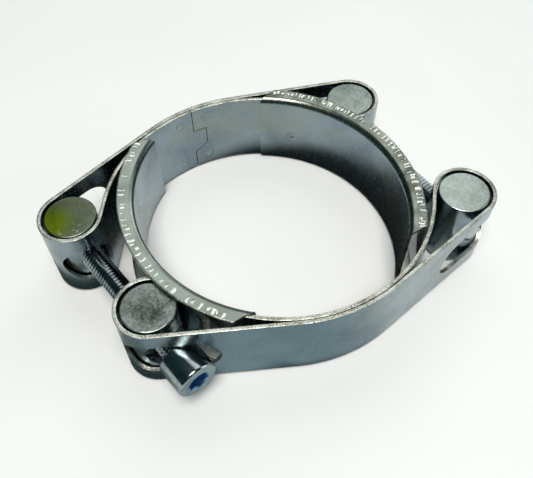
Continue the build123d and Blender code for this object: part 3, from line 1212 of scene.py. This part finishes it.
    def build(self, plate: Material, flange: Material, edge: Material, mark: Material) -> Object:
        """Make the channel.

        Args:
            plate: Finish of the wall.
            flange: Finish of the flanges.
            edge: Finish of the cut ends and rims.
            mark: Finish of the press marks, near white: partly burnish, partly painted highlight.

        Returns:
            The finished piece.
        """
        work = bmesh.new()
        section = self._section(work)
        turned(work, self.start - self.past)
        sweep = self.end - self.start + 2 * self.past
        bmesh.ops.spin(
            work,
            geom=[section, *section.edges, *section.verts],
            cent=(0, 0, 0),
            axis=(0, 0, 1),
            angle=math.radians(sweep),
            steps=int(sweep * self.steps_per_degree),
        )
        bmesh.ops.remove_doubles(work, verts=work.verts, dist=0.001 * MM)
        self._trim(work)
        bmesh.ops.recalc_face_normals(work, faces=work.faces)
        for face in work.faces:
            middle = face.calc_center_median()
            radius = math.hypot(middle.x, middle.y)
            if face.material_index != Face.WALL:
                continue
            if radius > self.flange_radius - 0.3 * MM:
                face.material_index = Face.EDGE
            elif abs(face.normal.z) > 0.35:
                face.material_index = Face.FLANGE
        self._press(work)
        work.transform(self._place())
        piece = finish_mesh(self.node + "_channel", work, [plate, flange, edge, mark], 50)
        carve(piece, [self._weld_hole()], 50)
        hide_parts(self.node)
        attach(piece, self.body)
        return piece


@dataclass
class Pin:
    """Round cross pin that a loop of strip is folded round.

    Attributes:
        node: CAD node that it stands for.
        body: Body that it rides on.
        end: Finish of its end faces.
    """

    node: str
    body: str
    end: BarEnd

    def build(self, side: Material) -> Object:
        """Make the pin.

        Args:
            side: Finish of its round side and bores.

        Returns:
            The finished piece.
        """
        work = merged_copy(self.node)
        for face in work.faces:
            face.material_index = 1 if abs(face.normal.z) > 0.75 else 0
        piece = finish_mesh(self.node + "_bar", work, [side, self.end.build()], 30)
        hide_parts(self.node)
        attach(piece, self.body)
        return piece


@dataclass
class CapScrew:
    """Socket head cap screw with a rolled thread over its whole shank.

    Attributes:
        node: CAD node that it stands for.
        body: Body that it rides on.
        turn_joint: Joint whose axis it turns on, pointing from head to point.
        turn: Turn of the socket about the axis, in degrees.
    """

    node: str
    body: str
    turn_joint: str
    turn: float = 0.0
    major_radius: float = 2.95 * MM
    minor_radius: float = 2.40 * MM
    pitch: float = 1.0 * MM
    length: float = 55.0 * MM
    head_radius: float = 5.3 * MM
    head_height: float = 8.4 * MM
    head_edge: float = 0.75 * MM
    socket_flats: float = 5.0 * MM
    socket_depth: float = 4.2 * MM
    point: float = 0.9 * MM

    def _place(self) -> Matrix:
        """Matrix from the screw's own frame, its axis on +Z and its head's underside at 0."""
        facts = joint(self.turn_joint)
        axis = Vector(facts["axis"]).normalized()
        on_axis = Vector(facts["pos_m"])
        mesh = frame["nodes"][self.node].data
        head_end = min((v.co - on_axis).dot(axis) for v in mesh.vertices)
        seat = on_axis + axis * (head_end + self.head_height)
        turned = Vector((0, 0, 1)).rotation_difference(axis).to_matrix().to_4x4()
        about = Matrix.Rotation(math.radians(self.turn), 4, "Z")
        return Matrix.Translation(seat) @ turned @ about

    def _thread(self, work: BMesh) -> None:
        """Wind one ridge of the thread into a closed shank."""
        ridge = [
            (self.minor_radius, 0.0), (self.minor_radius, 0.14), (self.major_radius, 0.44),
            (self.major_radius, 0.57), (self.minor_radius, 0.87), (self.minor_radius, 1.0),
        ]
        verts = [work.verts.new((r, 0, z * self.pitch)) for r, z in ridge]
        edges = [work.edges.new(pair) for pair in zip(verts, verts[1:])]
        turns = int(self.length / self.pitch) + 1
        start = Matrix.Translation((0, 0, -1.2 * self.pitch))
        bmesh.ops.transform(work, matrix=start, verts=verts)
        sectors = 36
        bmesh.ops.spin(
            work,
            geom=verts + edges,
            cent=(0, 0, 0),
            axis=(0, 0, 1),
            dvec=(0, 0, self.pitch / sectors),
            angle=math.tau * turns,
            steps=sectors * turns,
        )
        bmesh.ops.remove_doubles(work, verts=work.verts, dist=0.004 * MM)
        for height, upward in ((-0.1 * self.pitch, -1), (self.length, 1)):
            cut_off(work, (0, 0, height), (0, 0, upward))
        for vert in work.verts:
            spare = self.length - vert.co.z
            limit = self.minor_radius - 0.25 * MM + spare
            radius = math.hypot(vert.co.x, vert.co.y)
            if radius > limit and spare < self.point:
                vert.co.x *= limit / radius
                vert.co.y *= limit / radius

    def _head(self) -> BMesh:
        """Turn the head from its outline, closed at both poles."""
        work = bmesh.new()
        outline = [
            (0, 0), (self.head_radius - 0.25 * MM, 0), (self.head_radius, -0.25 * MM),
            (self.head_radius, -self.head_height), (0, -self.head_height),
        ]
        verts = [work.verts.new((r, 0, z)) for r, z in outline]
        edges = [work.edges.new(pair) for pair in zip(verts, verts[1:])]
        bmesh.ops.spin(
            work,
            geom=verts + edges,
            cent=(0, 0, 0),
            axis=(0, 0, 1),
            angle=math.tau,
            steps=96,
            use_merge=True,
        )
        bmesh.ops.remove_doubles(work, verts=work.verts, dist=0.001 * MM)
        bmesh.ops.recalc_face_normals(work, faces=work.faces)
        rim = [
            e for e in work.edges
            if all(
                abs(v.co.z + self.head_height) < SAME_PLACE
                and math.hypot(v.co.x, v.co.y) > self.head_radius - SAME_PLACE
                for v in e.verts
            )
        ]
        rounded(work, rim, self.head_edge, 5, "EDGES")
        return work

    def _socket(self) -> list[BMesh]:
        """Cutters of the socket: the hexagon, its drilled floor and the lead-in at its mouth."""
        flats, mouth = self.socket_flats, -self.head_height
        corner = flats / math.cos(math.pi / 6) / 2
        floor = mouth + self.socket_depth + 0.55 * MM
        shapes = (
            (corner, corner, self.socket_depth * 2, 6, mouth),
            (flats * 0.49, flats * 0.16, 1.3 * MM, 40, floor),
            (flats * 0.66, flats * 0.5, 0.8 * MM, 64, mouth),
        )
        return [
            cone(low, high, depth, segments, self._place() @ Matrix.Translation((0, 0, height)))
            for low, high, depth, segments, height in shapes
        ]

    def build(self, bright: Material, socket: Material) -> Object:
        """Make the screw.

        Args:
            bright: Finish of thread and head.
            socket: Finish of the socket's inside, a bright blue raised as painted light.

        Returns:
            The finished piece.
        """
        place = self._place()
        head = self._head()
        head.transform(place)
        piece = finish_mesh(self.node + "_m6", head, [bright, socket], 28)
        carve(piece, self._socket(), 28)
        work = bmesh.new()
        self._thread(work)
        bmesh.ops.recalc_face_normals(work, faces=work.faces)
        work.transform(place)
        work.from_mesh(piece.data)
        axis = (place.to_3x3() @ Vector((0, 0, 1))).normalized()
        seat = place.translation
        inside = self.socket_flats / math.cos(math.pi / 6) / 2 + 0.02 * MM
        # faces inside the socket take the socket finish, whose bright blue is painted light
        for face in work.faces:
            offset = face.calc_center_median() - seat
            height = offset.dot(axis)
            radius = (offset - axis * height).length
            if radius < inside and -self.head_height + 0.02 * MM < height < -2 * MM:
                face.material_index = 1
        work.to_mesh(piece.data)
        work.free()
        piece.data.shade_smooth()
        piece.data.set_sharp_from_angle(angle=math.radians(28))
        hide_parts(self.node)
        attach(piece, self.body)
        return piece


# --- set -------------------------------------------------------------------------------------


@dataclass
class Studio:
    """Pale floor, soft lights and the camera.

    Attributes:
        target: Point that the camera looks at, in metres.
        eye: Where the camera stands, in metres.
        lens: Focal length on a 36 mm wide frame.
        roll: Turn of the camera about its view, in degrees.
    """

    target: Vector = field(default_factory=lambda: Vector((-7.7, -8.1, 13.5)) * MM)
    eye: Vector = field(default_factory=lambda: Vector((-46.6, -98.9, 151.8)) * MM)
    lens: float = 43.0
    roll: float = -0.3

    def floor(self) -> Object:
        """Lay the floor under the clamp's lowest point."""
        work = bmesh.new()
        bmesh.ops.create_grid(work, x_segments=8, y_segments=8, size=1.2)
        for vert in work.verts:
            vert.co.z = CAD_BOX[0][2] - 0.02 * MM
        made = finish_mesh("floor", work, [PaintedBoard().build()])
        return made

    def backdrop(self) -> Object:
        """Stand a plain pale screen round the floor, which lights and metal don't meet."""
        work = bmesh.new()
        bmesh.ops.create_cone(
            work, cap_ends=False, segments=96, radius1=1.15, radius2=1.15, depth=1.6
        )
        bmesh.ops.translate(work, vec=(0, 0, 0.7), verts=work.verts)
        bmesh.ops.reverse_faces(work, faces=work.faces)
        paper, tree = fresh_material("plain_pale_paper")
        glow = add_node(tree, "Emission", values={"Color": linear("#EDEEEC"), "Strength": 1.0})
        add_node(tree, "OutputMaterial", links={"Surface": glow.outputs[0]})
        made = finish_mesh("backdrop", work, [paper])
        made.visible_glossy = False
        made.visible_diffuse = False
        made.visible_shadow = False
        return made

    def painted_shade_card(self) -> Object:
        """Lay the card of painted shade that only the metal reflects, with a light round middle.

        It paints shade into the metal's reflections at the foot of every wall and inside the ring,
        and stays out of view.
        """
        work = bmesh.new()
        bmesh.ops.create_grid(work, x_segments=2, y_segments=2, size=0.09)
        bmesh.ops.translate(work, vec=(0, 0, CAD_BOX[0][2] - 0.01 * MM), verts=work.verts)
        made = finish_mesh("painted_shade_card", work, [PaintedShadeCard().build()])
        made.visible_camera = False
        made.visible_diffuse = False
        made.visible_shadow = False
        return made

    def camera(self) -> Object:
        """Stand the camera at its place."""
        data = bpy.data.cameras.new("camera")
        data.lens = self.lens
        data.sensor_width = 36
        data.clip_start = 0.01
        made = bpy.data.objects.new("camera", data)
        bpy.context.scene.collection.objects.link(made)
        aim = (self.target - self.eye).to_track_quat("-Z", "Y")
        made.matrix_world = (
            Matrix.Translation(self.eye)
            @ aim.to_matrix().to_4x4()
            @ Matrix.Rotation(math.radians(self.roll), 4, "Z")
        )
        bpy.context.scene.camera = made
        return made

    def softbox(
        self,
        name: str,
        place: tuple[float, float, float],
        size: tuple[float, float],
        power: float,
        colour: str = "#FFFFFF",
    ) -> Object:
        """Hang one rectangular soft light, facing the clamp.

        Args:
            name: The light's name.
            place: Where it hangs, in metres.
            size: Width and height in metres.
            power: Its power in watts.
            colour: Its colour, as sRGB hex.

        Returns:
            The light.
        """
        data = bpy.data.lights.new(name, "AREA")
        data.shape = "RECTANGLE"
        data.size, data.size_y = size
        data.energy = power
        data.color = linear(colour)[:3]
        made = bpy.data.objects.new(name, data)
        bpy.context.scene.collection.objects.link(made)
        made.location = place
        made.rotation_euler = (self.target - Vector(place)).to_track_quat("-Z", "Y").to_euler()
        return made

    def room(self, colour: str, strength: float) -> None:
        """Fill the rest of the room with an even, dim light.

        Args:
            colour: Its colour, as sRGB hex.
            strength: Its strength.
        """
        world = bpy.data.worlds.new("studio")
        world.use_nodes = True
        world.node_tree.nodes.clear()
        back = add_node(
            world.node_tree, "Background", values={"Color": linear(colour), "Strength": strength}
        )
        add_node(world.node_tree, "OutputWorld", links={"Surface": back.outputs[0]})
        bpy.context.scene.world = world

    def build(self) -> None:
        """Set up floor, lights, room and camera."""
        self.floor()
        self.backdrop()
        # painted shade, seen only in the metal's reflections
        self.painted_shade_card()
        self.camera()
        self.softbox("overhead", (-0.15, -0.30, 0.95), (0.42, 0.42), 9.0, "#FFFDFA")
        self.softbox("panel", (0.20, 0.46, 0.70), (0.85, 0.6), 2.05, "#F6F8F4")
        self.softbox("back_right", (0.68, 0.52, 0.30), (0.5, 0.3), 1.0, "#F2F8FA")
        self.softbox("right", (0.75, -0.35, 0.30), (0.3, 0.5), 1.2, "#EAF4FF")
        self.room("#2B5052", 0.6)
        bpy.context.scene.view_settings.view_transform = "Standard"


def report(piece: Object) -> Object:
    """Log a finished piece, with how many faces it has, and hand it back."""
    LOG.info("%s: %d faces", piece.name, len(piece.data.polygons))
    return piece


def main() -> None:
    """Build the clamp's pieces in order, dress the welds, and set up the studio."""
    logging.basicConfig(level=logging.INFO, format="%(name)s %(message)s")
    front = Half(plain="plain_pin_left", barrel="barrel_pin_right")
    rear = Half(plain="plain_pin_right", barrel="barrel_pin_left")
    plate = ZincPlate().build()
    flange = ZincPlate(
        name="zinc_plated_pressed_flange",
        light="#9FA59F",
        shade="#868D86",
        cast="#9C9D8D",
        roughness=(0.22, 0.4),
        scuffs=0.35,
        waviness=0.5,
    ).build()
    # Darker copy of the flange finish for the right bridge: painted shade for the dark that this
    # flange reflects; its scuffs are real grime.
    flange_with_painted_shade = ZincPlate(
        name="zinc_plated_pressed_flange_painted_shade",
        light="#9BA097",
        shade="#5C6058",
        cast="#7E7F6A",
        cloud=6 * MM,
        roughness=(0.18, 0.34),
        scuffs=0.8,
        waviness=0.6,
    ).build()
    side = ZincPlate(
        name="zinc_plated_turned_bar",
        light="#8E9BA3",
        shade="#6F8088",
        cast="#86928B",
        roughness=(0.16, 0.3),
        scuffs=0.2,
    ).build()
    edge = ShearedEdge().build()
    # The press marks' near-white colour is partly real burnish and partly painted highlight for the
    # dents' glints.
    mark = ZincPlate(
        name="zinc_press_mark_burnish_and_painted_highlight",
        light="#FBFBF6",
        shade="#D9DCD6",
        cast="#E6E7DE",
        cloud=1.5 * MM,
        roughness=(0.14, 0.26),
        scuffs=0.0,
    ).build()
    report(Band("band_front", "front_half", front).build(plate, edge))
    report(Band("band_rear", "rear_half", rear).build(plate, edge))
    bridges = (
        Bridge("bridge_left", "front_half", front, Marking.LIGHT, 11, -2.3),
        Bridge("bridge_right", "rear_half", rear, Marking.STRONG, 5, tick_pitch=1.8),
    )
    # the right bridge takes the darker flange finish, which is painted shade
    for bridge, finish in zip(bridges, (flange, flange_with_painted_shade)):
        report(bridge.build(plate, finish, edge, mark))
    pins = (
        ("plain_pin_left", "front_half", {"dark_middle": 0.12, "contrast": 0.17, "shade": "#3F4743"}),
        ("barrel_pin_left", "left_barrel", {"turned": 0.12, "film": 0.93}),
        ("plain_pin_right", "rear_half", {"turned": 0.2}),
        ("barrel_pin_right", "front_half", {"light": "#C6CCC9", "shade": "#969E9A"}),
    )
    for node_name, body, traits in pins:
        low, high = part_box(node_name)
        top = ((low.x + high.x) / 2, (low.y + high.y) / 2, high.z)
        end = BarEnd(f"zinc_plated_bar_end_{node_name}", top, **traits)
        report(Pin(node_name, body, end).build(side))
    bright = RolledThread().build()
    # The socket's bright blue is painted light: its colour is raised so the recess the lamps barely
    # reach does not go black.
    socket = RolledThread(
        "zinc_plated_screw_socket_painted_light", colour="#8FBBE4", shade="#5C8CBC", roughness=(0.25, 0.4)
    ).build()
    report(CapScrew("screw_left", "left_screw", "left_screw_turn", 12).build(bright, socket))
    report(CapScrew("screw_right", "right_screw", "right_screw_turn", 40).build(bright, socket))
    weld = ZincPlate(
        name="zinc_plated_spot_weld",
        light="#98A1A6",
        shade="#7B868B",
        cast="#8D8F7C",
        cloud=2 * MM,
        roughness=(0.25, 0.4),
    ).build()
    for node_name in (
        "seam_welds_front", "seam_welds_rear", "bridge_weld_left", "bridge_weld_right"
    ):
        frame["nodes"][node_name].material_slots[0].material = weld
        report(frame["nodes"][node_name])
    Studio().build()


if __name__ == "__main__":
    main()
